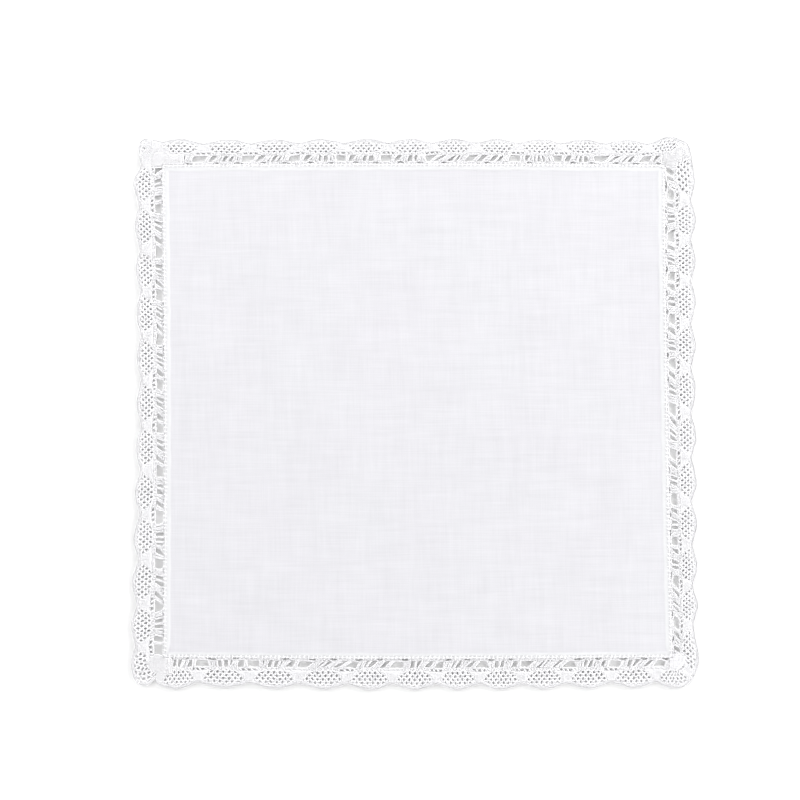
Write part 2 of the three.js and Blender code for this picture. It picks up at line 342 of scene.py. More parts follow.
def station_rows():
    """Every valley and outline row as (place along the strip, reach, is it a valley), in order.

    A side's valleys lie at even shares of the way from its first to its last, moved on by
    drift * sin(pi * share) + sway * sin(2 * pi * share). Their depth is
    depth + taper * (1 - 2 * share) + swell * sin(pi * share).
    """
    rows = []
    for side, (first, last, count, drift, sway, depth, taper, swell) in enumerate(SIDE_SCALLOPS):
        share = np.arange(count + 1) / count
        along = first + (last - first) * share
        along += drift * np.sin(np.pi * share) + sway * np.sin(2 * np.pi * share)
        reach = depth + taper * (1 - 2 * share) + swell * np.sin(np.pi * share)
        rows += zip(side_starts[side] + along, reach * DEPTH_AT_VALLEY, np.ones(count + 1))
        rows += [(side_ends[side] + past, out, valley) for past, out, valley in CORNER_OUTLINES[side]]
    rows = np.array(rows, float)
    rows[:, 0] %= RUN_LENGTH
    return rows[np.argsort(rows[:, 0])]


stations = station_rows()
once_round = np.array([-RUN_LENGTH, 0, RUN_LENGTH])[:, None]
valley_runs = stations[stations[:, 2] > 0, 0]
REPEATS = len(valley_runs)
all_valleys = (valley_runs[None] + once_round).ravel()
valley_numbers = np.arange(-REPEATS, 2 * REPEATS)
print("scallops:", REPEATS)


def run_at(repeat):
    """Distance along the strip at a repeat number: 3.5 is half way from valley 3 to valley 4.

    Between two valleys it is a straight line.
    """
    return np.interp(repeat, valley_numbers, all_valleys)


def repeat_at(run):
    """The other way round: the repeat number at a distance along the strip."""
    return np.interp(run, all_valleys, valley_numbers)


# %% [markdown]
# How deep the lace lies changes from place to place too. The depth of a fully stretched repeat is
# one formula, and the fullness is what it is multiplied by: a smooth curve through the listed rows.
# Straight lines between the rows would show as kinks in the edge.

# %% The depth of the lace
TINY = 1e-12
# at the front left corner the edge is tucked in: place along the strip, half width, share lost
TUCK_AT, TUCK_HALF, TUCK_SHARE = side_ends[FRONT] + 5.0, 1.7, 0.19


def full_depth(repeat):
    """Depth of fully stretched lace: a sine arch over each repeat, eased where two arches meet."""
    arch = np.sin(np.pi * np.mod(repeat, 1))
    eased = arch + VALLEY_EASING * (arch ** 2 - arch)
    return DEPTH_AT_VALLEY + (DEPTH_AT_PEAK - DEPTH_AT_VALLEY) * eased


def gentle_slopes(places, values):
    """The slope at each row of a curve that never overshoots its rows.

    It is 2 * before * after / (before + after) of the straight slopes on its two sides, or 0
    where the curve turns back.
    """
    slopes = np.diff(values) / np.diff(places)
    before, after = slopes[:-1], slopes[1:]
    gentle = np.zeros(len(values))
    gentle[1:-1] = np.where(before * after > 0, 2 * before * after / (before + after + TINY), 0)
    return gentle


fullness_runs = (stations[None, :, 0] + once_round).ravel()
fullness_rows = np.tile(stations[:, 1] / full_depth(repeat_at(stations[:, 0])), 3)
fullness_slopes = gentle_slopes(fullness_runs, fullness_rows)
print("fullness:", np.round([fullness_rows.min(), fullness_rows.max()], 2).tolist())


def fullness(run):
    """How full the lace lies: the cubic between two rows that has their values and slopes.

    The tuck takes its share times exp(-(distance / half width) ** 2) away.
    """
    run = np.mod(run, RUN_LENGTH)
    row = np.searchsorted(fullness_runs, run, side="right") - 1
    gap = fullness_runs[row + 1] - fullness_runs[row]
    t = (run - fullness_runs[row]) / gap
    rise, fall = fullness_slopes[row] * gap, fullness_slopes[row + 1] * gap
    change = fullness_rows[row + 1] - fullness_rows[row]
    tucked = 1 - TUCK_SHARE * np.exp(-((run - TUCK_AT) / TUCK_HALF) ** 2)
    return tucked * (fullness_rows[row] + t * (rise + t * (3 * change - 2 * rise - fall
                                                           + t * (rise + fall - 2 * change))))


# %% [markdown]
# ## Laying a thread on the table
# A thread is first drawn in pattern terms: repeat number, distance out from the hem in a lace of
# full depth, and height. `lay` turns that into millimetres on the table. It also adds a little
# unevenness, which neighbouring threads share, so holes vary in size but threads stay side by side.

# %% From the pattern to the table
rng = np.random.default_rng(49)
WAVE_LENGTHS = np.array([2.9, 4.1, 6.3, 9.7, 17.0])
WAVE_SIZES = np.array([0.05, 0.06, 0.07, 0.08, 0.12])
wave_angles = rng.uniform(0, 2 * np.pi, (3, 5))
wave_phases = rng.uniform(0, 2 * np.pi, (3, 5))
# the whole lace lies this high, and takes this share of the unevenness in height
LACE_LIFT, LIFT_SHARE = 0.12, 0.5
print("unevenness, mm, at most:", WAVE_SIZES.sum())


def unevenness(xy):
    """Small shifts in x, y and z: each is a sum of five sine waves that run in random directions."""
    along = np.einsum("...i,iac->...ac", xy, np.stack([np.cos(wave_angles), np.sin(wave_angles)]))
    return np.sin(2 * np.pi * along / WAVE_LENGTHS + wave_phases) @ WAVE_SIZES


def at_height(flat, height):
    """Points in space: places on the table, each with its height added as a third number."""
    height = np.broadcast_to(height, flat.shape[:-1])
    return np.concatenate([flat, height[..., None]], axis=-1)


def lay(repeat, out, height):
    """Points in mm of a thread given in pattern terms.

    The place is hem point + outward * out * fullness + the uneven shift, and the height gets the
    lift and a share of the shift.
    """
    repeat, out, height = np.broadcast_arrays(repeat, out, height)
    run = run_at(repeat)
    point, outward = hem_place(run)
    flat = point + outward * (out * fullness(run))[..., None]
    shift = unevenness(flat)
    return at_height(flat + shift[..., :2], height + LACE_LIFT + LIFT_SHARE * shift[..., 2])


# %% [markdown]
# ## Thread as a tube
# Every thread is the same shape: a small ring carried along a path. Blender's curves with a round
# bevel would do it too, but thousands of them are slow, so all the threads of one kind are worked
# out together as one array. Four points on the ring are enough for threads this thin, because
# smooth shading rounds them. Points can be marked as outside, and the thread stops there, which is
# how a piece of net gets the outline of a fan.

# %% Tubes along many paths at once
UP = np.array([0.0, 0.0, 1.0])
RING_POINTS = 4
RING = np.arange(RING_POINTS) * 2 * np.pi / RING_POINTS
# a thread's last ring is this share of its size
END_SHARE = 0.45
# a direction shorter than this is no direction
SHORTEST = 1e-9
print("faces round a thread:", RING_POINTS)


def unit(vectors):
    """Vectors divided by their own lengths."""
    return vectors / (np.linalg.norm(vectors, axis=-1, keepdims=True) + SHORTEST)


def thread_tubes(paths, radius, inside=None, tones=(0, 1)):
    """Tubes along paths (threads, points, 3): ring = path + radius * (cos * side + sin * over).

    side lies flat across the thread and over is at right angles to both. A length is kept where
    both its ends are inside. The ring shrinks where a thread starts or stops, and a cap closes it.
    The map holds how far along and how far round. Each thread draws its own tone from a range.
    """
    paths = paths.reshape(-1, *paths.shape[-2:])
    threads, points, _ = paths.shape
    if inside is None:
        inside = np.ones((threads, points), bool)
    inside = inside.reshape(threads, points)
    kept = inside[:, :-1] & inside[:, 1:]
    way = np.gradient(paths, axis=1)
    side = unit(np.cross(way, UP))
    over = unit(np.cross(side, way))
    has_before = np.pad(kept, ((0, 0), (1, 0)))
    has_after = np.pad(kept, ((0, 0), (0, 1)))
    size = np.where(has_before != has_after, END_SHARE, 1.0) * radius
    ring = np.cos(RING)[:, None] * side[:, :, None] + np.sin(RING)[:, None] * over[:, :, None]
    corners = paths[:, :, None] + size[:, :, None, None] * ring
    index = np.arange(corners[..., 0].size).reshape(threads, points, RING_POINTS)
    near, far = index[:, :-1], index[:, 1:]
    quads = np.stack([near, far, np.roll(far, -1, 2), np.roll(near, -1, 2)], axis=-1)[kept]
    steps = np.linalg.norm(np.diff(paths, axis=1), axis=2)
    reach = np.pad(np.cumsum(steps, axis=1), ((0, 0), (1, 0)))
    reach = np.repeat(reach[:, :, None], RING_POINTS, axis=2)
    lengths = np.stack([reach[:, :-1], reach[:, 1:], reach[:, 1:], reach[:, :-1]], axis=-1)[kept]
    round_from = np.zeros(near.shape) + np.arange(RING_POINTS) / RING_POINTS
    round_to = round_from + 1 / RING_POINTS
    rounds = np.stack([round_from, round_from, round_to, round_to], axis=-1)[kept]
    starts, stops = index[has_after & ~has_before], index[has_before & ~has_after][:, ::-1]
    caps = np.concatenate([starts, stops])
    quads = np.concatenate([quads.reshape(-1, 4), caps])
    lengths = np.concatenate([lengths.reshape(-1, 4), np.zeros(caps.shape)])
    rounds = np.concatenate([rounds.reshape(-1, 4), np.zeros(caps.shape)])
    tone = np.repeat(rng.uniform(*tones, threads), points * RING_POINTS)
    return corners.reshape(-1, 3), quads, np.stack([lengths, rounds], axis=-1), tone


# %% [markdown]
# The arrays become an object through foreach_set, which copies a whole array in one go. Adding
# points one at a time would take minutes for a lace of this size.

# %% From arrays to an object
def join_tubes(parts):
    """Joins several sets of tubes into one, and drops points that no face uses."""
    offsets = np.cumsum([0] + [len(part[0]) for part in parts[:-1]])
    points = np.concatenate([part[0] for part in parts])
    quads = np.concatenate([part[1] + offset for part, offset in zip(parts, offsets)])
    marks = np.concatenate([part[2] for part in parts])
    tone = np.concatenate([part[3] for part in parts])
    used, quads = np.unique(quads, return_inverse=True)
    return points[used], quads.reshape(-1, 4), marks, tone[used]


def make_piece(name, points, quads, marks, values, finish):
    """A mesh object in metres from points in mm, with a UV map and one value for each point."""
    mesh = bpy.data.meshes.new(name)
    mesh.vertices.add(len(points))
    mesh.vertices.foreach_set("co", (points * MM).astype(np.float32).ravel())
    mesh.loops.add(quads.size)
    mesh.loops.foreach_set("vertex_index", quads.astype(np.int32).ravel())
    mesh.polygons.add(len(quads))
    mesh.polygons.foreach_set("loop_start", np.arange(0, quads.size, 4, dtype=np.int32))
    mesh.update(calc_edges=True)
    mesh.polygons.foreach_set("use_smooth", np.ones(len(quads), bool))
    mesh.uv_layers.new(name="thread_run").data.foreach_set("uv", marks.astype(np.float32).ravel())
    for key, value in values.items():
        layer = mesh.attributes.new(key, "FLOAT", "POINT")
        layer.data.foreach_set("value", value.astype(np.float32))
    mesh.materials.append(finish.material)
    piece = bpy.data.objects.new(name, mesh)
    bpy.context.scene.collection.objects.link(piece)
    print(name, "triangles:", 2 * len(quads))
    return piece


print("one mm of the pattern is", MM, "m of the mesh")

# %% [markdown]
# ## The lace, kind by kind
# Bobbin lace is made of a few kinds of stitch, and each gets its own cell:
# - a **trail** is a narrow woven band, and one runs along each edge and one through the middle;
# - a **plait** is a short braid, and plaits carry the open row beside the hem;
# - **net** is pairs of threads that cross on two slants, and it fills each fan;
# - **cloth stitch** is plain weaving, and it fills the leaf between two fans.
#
# Distances out from the hem are given for a lace of full depth, and lengths along it for a repeat
# of 22 mm. The fan stands in the middle of a repeat and the leaf stands on the valley.

# %% Sizes of the pattern
REPEAT = 22.0
# height of the middle of the threads
MIDDLE = 0.75
FAN_OUT = np.array([5.6, 6.0, 7.0, 8.0, 9.5, 11.0, 12.5, 13.5, 15.5])
FAN_HALF = np.array([1.6, 2.4, 4.6, 6.2, 7.6, 8.4, 8.2, 7.0, 4.0])
# the strip was not sewn on evenly, so on each side the rows lie a little further out or in
FAN_SHIFTS = (0.1, -0.3, -0.45, -0.6)
# where the open row starts and ends on each side
OPEN_ROWS = ((1.5, 5.45), (1.2, 4.9), (1.35, 4.8), (0.4, 4.45))


def fan_half(out, side):
    """Half the width of the fan at a distance out from the hem, by straight lines between rows."""
    return np.interp(out - FAN_SHIFTS[side], FAN_OUT, FAN_HALF)


def side_span(side):
    """Where one side's piece of the strip starts and ends: the middles of its two corners."""
    return side_starts[side] - CORNER_RUN / 2, side_ends[side] + CORNER_RUN / 2


def own_repeats(side):
    """Repeat numbers whose middles lie on one side's piece of the strip."""
    first, last = side_span(side)
    numbers = np.arange(-1, REPEATS)
    middles = run_at(numbers + 0.5)
    return numbers[(middles >= first) & (middles < last)]


print("repeats on each side:", [len(own_repeats(side)) for side in range(4)])

# %% [markdown]
# Several kinds of stitch give way to an opening, so the openings come first. The footing beside the
# hem parts into slits, and under most leaves the middle trail opens into three small holes. Each is
# a smooth width between 0 and 1 along the strip, so that the threads beside it bend round it. Where
# the strip is gathered at a corner no slit shows.

# %% Slits, small holes and gathered spans
# first share of a repeat, last share, how often it shows
SLITS = ((0.20, 0.36, 0.75), (0.62, 0.85, 0.85))
# how far a slit pushes the threads beside it, the power that leans it, and the width it shows from
SLIT_PUSH, SLIT_LEAN, SLIT_SHOWS = 1.0, 0.8, 0.35
# how often the small holes show, half their width in repeats, their push, and where they show
HOLES_OFTEN, HOLES_HALF, HOLE_PUSH, HOLE_SHOWS = 0.8, 0.16, 0.9, 0.3
# the strip is gathered from the first to the last of these places past each side's end
GATHER_SPANS = ((-1.0, 21.0), (-1.0, 21.0), (-3.5, 21.0), (-1.0, 30.5))
slit_parted = rng.uniform(0.6, 1, (REPEATS, len(SLITS)))
slit_parted *= rng.uniform(0, 1, slit_parted.shape) < [often for _, _, often in SLITS]
has_holes = rng.uniform(0, 1, REPEATS) < HOLES_OFTEN
print("slits:", np.count_nonzero(slit_parted), "rows of small holes:", np.count_nonzero(has_holes))


def is_gathered(run):
    """Whether a place along the strip lies in one of the gathered spans."""
    firsts, lasts = np.array(GATHER_SPANS).T + side_ends
    past = np.mod(np.asarray(run)[..., None] - firsts, RUN_LENGTH)
    return (past < lasts - firsts).any(axis=-1)


def slit_width(share):
    """How far the footing is parted: how wide this slit is * sin(pi * share of it ** 0.8)."""
    number, part = np.floor(share).astype(int) % REPEATS, np.mod(share, 1)
    humps = [slit_parted[number, slit]
             * np.sin(np.pi * np.clip((part - low) / (high - low), 0, 1) ** SLIT_LEAN)
             for slit, (low, high, _) in enumerate(SLITS)]
    return sum(humps) * ~is_gathered(run_at(share))


def hole_room(share):
    """1 over the small holes and 0 away from them: exp(-(distance / half width) ** 4)."""
    nearest = np.floor(share + 0.5).astype(int)
    return has_holes[nearest % REPEATS] * np.exp(-((share - nearest) / HOLES_HALF) ** 4)


# %% [markdown]
# ### Net
# Net is the airy part of each fan. Its threads go in pairs along two slants and cross in rows of
# small round holes. A flat sheet with punched holes would have hard, even holes. Crossing pairs
# give them soft corners, and a thread that catches the light beside every hole.

# %% The net of a fan
NET_ALONG, NET_OUT, NET_FROM = 1.27, 1.6, 5.9
# the net stops short of the scalloped edge, and goes a little past the fan's other outlines
NET_INSET, NET_PAST, NET_BELOW = 1.3, 0.5, 0.1
NET_THREAD, NET_SPREAD, NET_RISE = 0.305, 0.3, 0.1
# a pair is fatter where it twists, and no two threads are of quite the same size
NET_TWIST, NET_SIZES = 0.25, (0.9, 1.2)
# the numbers that the lines of a slant run between, and the points from crossing to crossing
NET_FIRST, NET_LAST, NET_STEPS = -7, 12, 4
print("net holes, mm:", round(float(np.hypot(NET_ALONG, NET_OUT)), 2), "apart")


def fan_net(repeats, side):
    """Pairs of threads on two slants: out = start + 1.6 * (m + n), along = 1.27 * (m - n).

    One slant fixes n and runs along m, the other fixes m and runs along n. The two threads of a
    pair stand apart at a crossing and twist once half way to the next, as cosines of opposite sign.
    """
    line = np.arange(NET_FIRST, NET_LAST)[:, None]
    step = np.arange(NET_FIRST * NET_STEPS, NET_LAST * NET_STEPS + 1)[None] / NET_STEPS
    start = NET_FROM + FAN_SHIFTS[side]
    fatness = 1 + NET_TWIST * np.sin(np.pi * step) ** 2
    parts = []
    for slant in (1, -1):
        along, out = NET_ALONG * slant * (step - line), start + NET_OUT * (step + line)
        across = np.array([-slant * NET_OUT, NET_ALONG]) / np.hypot(NET_OUT, NET_ALONG)
        crossing = slant * NET_RISE * np.cos(np.pi * (step + line))
        for half in (1, -1):
            swing = half * NET_SPREAD * np.cos(np.pi * step)
            rise = half * NET_RISE * np.sin(np.pi * step) + crossing
            spot, far = along + swing * across[0], out + swing * across[1]
            share = repeats[:, None, None] + 0.5 + spot / REPEAT
            edge = full_depth(share) - NET_INSET / fullness(run_at(share))
            inside = np.abs(spot) < fan_half(far, side) + NET_PAST
            inside = inside & (far > start - NET_BELOW) & (far < edge)
            thread = NET_THREAD * fatness * rng.uniform(*NET_SIZES, (len(repeats) * len(line), 1))
            parts.append(thread_tubes(lay(share, far, MIDDLE + rise), thread, inside))
    return parts


# %% [markdown]
# ### Cloth stitch
# The leaf between two fans is woven so close that it is almost solid. It is still made of threads,
# because its faint grain is what tells it from the hem's cloth, and a smooth patch of the same
# outline would look like paper. They are thicker than the real ones and than their own spacing, so
# they run into each other and close the surface, and the weave is left as a slight relief.

# %% The cloth stitch of a leaf
LEAF_FROM, LEAF_ROW, LEAF_COLUMN = 7.15, 0.55, 0.72
LEAF_ROWS, LEAF_COLUMNS = np.arange(9), np.arange(-13, 14)
LEAF_THREAD, LEAF_RISE, LEAF_TONES = 0.45, 0.015, (1.7, 1.95)
# the leaf stops short of the scalloped edge, and its first row gives way to this much of a hole
LEAF_INSET, LEAF_GIVES = 0.9, 0.4
print("leaf, mm:", LEAF_ROW * len(LEAF_ROWS), "deep")


def leaf_weave(repeats, side):
    """Plain weave: rows at out = 7.15 + 0.55 * j, columns at along = 0.72 * k.

    The row passes over where j + k is even and under where it is odd, and the column the other
    way. The first row is left out over the small holes of the middle trail.
    """
    out, along = LEAF_FROM + FAN_SHIFTS[side] + LEAF_ROW * LEAF_ROWS, LEAF_COLUMN * LEAF_COLUMNS
    turns = (-1.0) ** (LEAF_ROWS[:, None] + LEAF_COLUMNS[None])
    inside = np.abs(along)[None] < (REPEAT / 2 - fan_half(out, side))[:, None]
    share = repeats[:, None, None] + along[None, None] / REPEAT
    inside = inside[None] & (out[None, :, None] < full_depth(share) - LEAF_INSET)
    inside &= (LEAF_ROWS > 0)[:, None] | (hole_room(share) < LEAF_GIVES)
    rows = lay(share, out[None, :, None], MIDDLE + LEAF_RISE * turns[None])
    columns = lay(share, out[None, :, None], MIDDLE - LEAF_RISE * turns[None])
    return [thread_tubes(rows, LEAF_THREAD, inside, LEAF_TONES),
            thread_tubes(columns.transpose(0, 2, 1, 3), LEAF_THREAD, inside.transpose(0, 2, 1),
                         LEAF_TONES)]


# %% [markdown]
# A thread runs up each side of the fan, where net and leaf meet. Without it the net's cut ends would
# show as a fringe against the leaf.

# %% The thread between net and leaf
FAN_EDGE_OUT = np.linspace(5.8, 13.2, 13)
FAN_EDGE_PAST, FAN_EDGE_INSET, FAN_EDGE_LIFT, FAN_EDGE_THREAD = 0.25, 0.8, 0.05, 0.28
print("fan edge points:", len(FAN_EDGE_OUT))


def fan_edges(repeats, side):
    """A thread up each side of the fan: along = the fan's half width + 0.25."""
    out = FAN_EDGE_OUT + FAN_SHIFTS[side]
    parts = []
    for hand in (1, -1):
        share = repeats[:, None] + 0.5 + hand * (fan_half(out, side) + FAN_EDGE_PAST) / REPEAT
        inside = out < full_depth(share) - FAN_EDGE_INSET
        parts.append(thread_tubes(lay(share, out, MIDDLE + FAN_EDGE_LIFT), FAN_EDGE_THREAD, inside))
    return parts


# %% [markdown]
# ### Trails
# A trail has a few threads that run its whole length, and finer ones that weave across them. Along
# the scallops the trail keeps its width, so its threads are placed from the edge inwards. Scaling
# them with the rest of the lace would thin the edge in every valley.

# %% The scalloped outer trail
TRAIL_INSETS = (0.22, 0.6, 0.98, 1.38)
TRAIL_THREADS = (0.29, 0.26, 0.26, 0.27)
TRAIL_TONES = (0.5, 1.3)
# the edge thread is painted darker as shade, most along the right
EDGE_SHADE_TONES = ((-6.6, -5.8), (-8.2, -7.4), (-6.4, -5.6), (-5.6, -4.8))
TRAIL_POINTS, TRAIL_LIFT, TRAIL_WAVE = 26, 0.05, 0.05
# the weaver's inset and height at each beat, its rounds in a repeat, and its radius
WEAVER_INSETS = np.array([0.3, 0.9, 1.5, 0.9])
WEAVER_RISES = np.array([0.0, 0.11, 0.0, -0.11])
BEATS = len(WEAVER_INSETS)
WEAVER_ROUNDS, WEAVER_THREAD = 17, 0.18
print("outer trail, mm:", TRAIL_INSETS[-1] - TRAIL_INSETS[0], "between its outer threads")


def outer_trail(side):
    """Threads at out = depth - inset / fullness, and two weavers that swing between the insets."""
    first, last = repeat_at(side_span(side))
    share = np.linspace(first, last, int((last - first) * TRAIL_POINTS))
    room = fullness(run_at(share))
    parts = []
    for number, (inset, thread) in enumerate(zip(TRAIL_INSETS, TRAIL_THREADS)):
        wave = TRAIL_WAVE * np.cos(np.pi * np.arange(len(share)) + np.pi * number)
        points = lay(share, full_depth(share) - inset / room, MIDDLE + TRAIL_LIFT + wave)
        # the edge thread takes its side's painted shade
        tones = EDGE_SHADE_TONES[side] if number == 0 else TRAIL_TONES
        parts.append(thread_tubes(points, thread, tones=tones))
    count = int((last - first) * WEAVER_ROUNDS) * BEATS
    share = np.linspace(first, last, count)
    room = fullness(run_at(share))
    for start in (0, BEATS // 2):
        beat = (np.arange(count) + start) % BEATS
        out = full_depth(share) - WEAVER_INSETS[beat] / room
        parts.append(thread_tubes(lay(share, out, MIDDLE + WEAVER_RISES[beat]), WEAVER_THREAD))
    return parts


# %% [markdown]
# The footing is the trail that is sewn to the hem, and the middle trail carries the fans. Both
# follow the hem, so one function runs all their threads. It knows each by its number in a list,
# because a slit or a hole moves some of them and leaves out others.

# %% The threads of the footing and the middle trail
TRAIL_OUT = 6.4
# eight bounds, as distances from the hem, the open row's start, its end, and the middle trail
BOUND_OFFSETS = np.array([-0.1, 0.2, -0.45, -0.2, 0.15, 0.38, 0, 0.3])
# how a slit pushes the eight bounds and the four fillers, two in the footing and two in the trail
SLIT_PUSHES = np.array([-0.1, -0.1, 1, 1, 0, 0, 0, 0, 0, 0, 0, 0])[:, None]
TRAIL_BOUNDS, FOOT_FILL, TRAIL_FILL = slice(6, 8), slice(8, 10), slice(10, 12)
# lower threads lie under the bounds with these numbers
LOWER_BOUNDS, LOWER_BY, LOWER_THREAD = [3, 4, 6], 0.38, 0.24
RUNNING_POINTS, RUNNING_THREAD, RUNNING_WAVE = 22, 0.22, 0.06
DRIFT_SIZE, DRIFT_TURNS = 0.08, 1.7
print("running threads:", len(SLIT_PUSHES) + len(LOWER_BOUNDS))


def running_threads(side):
    """Threads that follow the hem at fixed distances out, rising and falling between the weavers.

    Four bound the footing, four bound the middle trail, and fillers run between them except where
    a slit or a row of small holes shows. A slit pushes the footing's outer pair outwards. Lower
    threads lie under the edges of the openings, because a trail is as thick as it is high. All
    drift by 0.08 * sin(2 * pi * (1.7 * share + distance out)). On the left the open row starts so
    near the hem that the second and the fourth bound lie in one place where no slit shows.
    """
    first, last = repeat_at(side_span(side))
    count = int((last - first) * RUNNING_POINTS)
    share = np.linspace(first, last, count)
    wave = RUNNING_WAVE * np.cos(np.pi * np.arange(count))
    opens, closes = OPEN_ROWS[side]
    bounds = np.repeat([0, opens, closes, TRAIL_OUT + FAN_SHIFTS[side]], 2) + BOUND_OFFSETS
    foot_fill = np.linspace(bounds[1], bounds[2], 4)[1:3]
    trail_fill = np.linspace(bounds[5], bounds[6], 4)[1:3]
    lines = np.concatenate([bounds, foot_fill, trail_fill])[:, None]
    drift = DRIFT_SIZE * np.sin(2 * np.pi * (share * DRIFT_TURNS + lines))
    drift = drift + SLIT_PUSH * SLIT_PUSHES * slit_width(share)
    drift[TRAIL_BOUNDS] += HOLE_PUSH * hole_room(share)
    inside = np.ones((len(lines), count), bool)
    inside[FOOT_FILL] = slit_width(share) < SLIT_SHOWS
    inside[TRAIL_FILL] = hole_room(share) < HOLE_SHOWS
    lower = (lines + drift)[LOWER_BOUNDS]
    return [thread_tubes(lay(share, lines + drift, MIDDLE + wave), RUNNING_THREAD, inside),
            thread_tubes(lay(share, lower, MIDDLE - LOWER_BY), LOWER_THREAD)]


# %% [markdown]
# Weavers cross the footing from side to side and are left out in a slit. Twisted pairs cross the
# middle trail. Where it has small holes the pairs are few and spread wide, and each stands as a bar
# between two holes.

# %% Weavers across the footing, and pairs across the middle trail
FOOT_STEPS, FOOT_COLUMNS = 7, 29
# the footing's weavers start under the hem's edge and end a little short of the open row
FOOT_INNER, FOOT_SHORT, FOOT_RISE, FOOT_THREAD = -0.3, 0.1, 0.1, 0.25
# where the wide bars stand between the small holes, and the close ones in the rest of a repeat
HOLE_BARS = np.array([-0.17, -0.057, 0.057, 0.17])
CLOSE_BARS = np.linspace(0.24, 0.76, 9)
BAR_STARTS = np.concatenate([HOLE_BARS, CLOSE_BARS])
BAR_SWINGS = np.repeat([0.6, 0.2], [len(HOLE_BARS), len(CLOSE_BARS)])[None, :, None]
BARS_FROM, BARS_TO, BAR_POINTS = 0.2, 6.6, 5
BAR_RISE, BAR_THREAD, BAR_JITTER, JITTER_RATE = 0.12, 0.26, 0.008, 40
print("weavers and pairs in a repeat:", FOOT_COLUMNS, len(BAR_STARTS))


def footing_weave(repeats, side):
    """Weavers across the footing: height = +0.1 or -0.1 in turn along one, and from one to the next."""
    columns = (np.arange(FOOT_COLUMNS) + 0.5) / FOOT_COLUMNS
    share = (repeats[:, None] + columns)[..., None]
    out = np.linspace(FOOT_INNER, OPEN_ROWS[side][0] - FOOT_SHORT, FOOT_STEPS)
    turns = (-1.0) ** (np.arange(FOOT_COLUMNS)[:, None] + np.arange(FOOT_STEPS)[None])
    inside = np.repeat(slit_width(share) < SLIT_SHOWS, FOOT_STEPS, axis=-1)
    return [thread_tubes(lay(share, out, MIDDLE + FOOT_RISE * turns), FOOT_THREAD, inside)]


def middle_pairs(repeats, side):
    """Pairs that cross once: swing = +- width * cos(pi * step), rise = +- 0.12 * sin(pi * step)."""
    start = repeats[:, None] + BAR_STARTS
    room = hole_room(start)[..., None]
    inner = OPEN_ROWS[side][1] + BARS_FROM
    outer = BARS_TO + FAN_SHIFTS[side] + HOLE_PUSH * room
    step = np.linspace(0, 1, BAR_POINTS)
    share = (start + BAR_JITTER * np.sin(JITTER_RATE * start))[..., None]
    parts = []
    for half in (1, -1):
        swing = half * BAR_SWINGS * np.cos(np.pi * step) / REPEAT
        rise = half * BAR_RISE * np.sin(np.pi * step)
        points = lay(share + swing, inner + (outer - inner) * step, MIDDLE + rise)
        parts.append(thread_tubes(points, BAR_THREAD))
    return parts


# %% [markdown]
# ### Plaits
# The open row is carried by plaits that slant from the footing to the middle trail. A plait is a
# braid of three: each thread swings from side to side once while it rises and falls twice, and the
# three are a third of a turn apart. A plain rod would be simpler, but braids flare where they are
# joined in, and that is what rounds the corners of the gaps.

# %% The plaits of the open row
# shares of the repeat at the footing and at the middle trail
PLAITS = np.array([(0.025, 0.095), (0.045, 0.145), (0.19, 0.325), (0.24, 0.36), (0.295, 0.395),
                   (0.355, 0.435), (0.49, 0.557), (0.62, 0.665), (0.67, 0.705), (0.72, 0.745),
                   (0.765, 0.785)])
# how far the plaits of each side are moved along, and how uneven single plaits and repeats are
ROW_SHIFTS = (0.02, 0.0, -0.01, 0.0)
PLAIT_JITTER, REPEAT_SWAY = 0.014, 0.03
PLAIT_SWING, PLAIT_RISE, PLAIT_THREAD, PLAIT_FLARE = 0.28, 0.13, 0.24, 1.7
PLAIT_POINTS, PLAIT_TURNS, STRANDS = 8, 1.25, 3
# a plait starts this far inside the footing and ends this far inside the middle trail
PLAIT_START, PLAIT_END = 0.1, 0.15
print("plaits in a repeat:", len(PLAITS))


def open_row(repeats, side):
    """Braids of three: swing = flare * sin(a) and rise = sin(2 * a), a third of a turn apart.

    The flare is 1 half way and grows by 1.7 * (distance from the middle) ** 4 to both ends.
    """
    step = np.linspace(0, 1, PLAIT_POINTS)
    jitter = rng.normal(0, PLAIT_JITTER, (len(repeats), len(PLAITS), 2))
    sway = rng.normal(0, REPEAT_SWAY, (len(repeats), 1, 2))
    ends = PLAITS + ROW_SHIFTS[side] + jitter + sway
    inner, outer = ends[..., :1], ends[..., 1:]
    line = inner + (outer - inner) * step
    opens, closes = OPEN_ROWS[side]
    start = opens - PLAIT_START + SLIT_PUSH * slit_width(repeats[:, None, None] + inner)
    slope = (outer - inner) * REPEAT / (closes - opens)
    flare = PLAIT_SWING * (1 + PLAIT_FLARE * np.abs(2 * step - 1) ** 4)
    parts = []
    for strand in range(STRANDS):
        turn = 2 * np.pi * (PLAIT_TURNS * step + strand / STRANDS)
        swing, rise = flare * np.sin(turn), PLAIT_RISE * np.sin(2 * turn)
        swing = swing / np.hypot(1, slope)
        share = repeats[:, None, None] + line + swing / REPEAT
        out = start + (closes + PLAIT_END - start) * step - swing * slope
        parts.append(thread_tubes(lay(share, out, MIDDLE + rise), PLAIT_THREAD))
    return parts


# %% [markdown]
# ### Corners
# At each corner the inner part of the strip is gathered into a thick patch of close weaving, which
# fans round the corner point. As in the leaf, its threads run into each other. At the back right
# the weave goes on to a tip at the lace's edge.

# %% Gathers round a corner
GATHER_FROM, GATHER_ROW = 0.8, 0.55
GATHER_REACH = (6.9, 7.2, 9.6, 6.6)
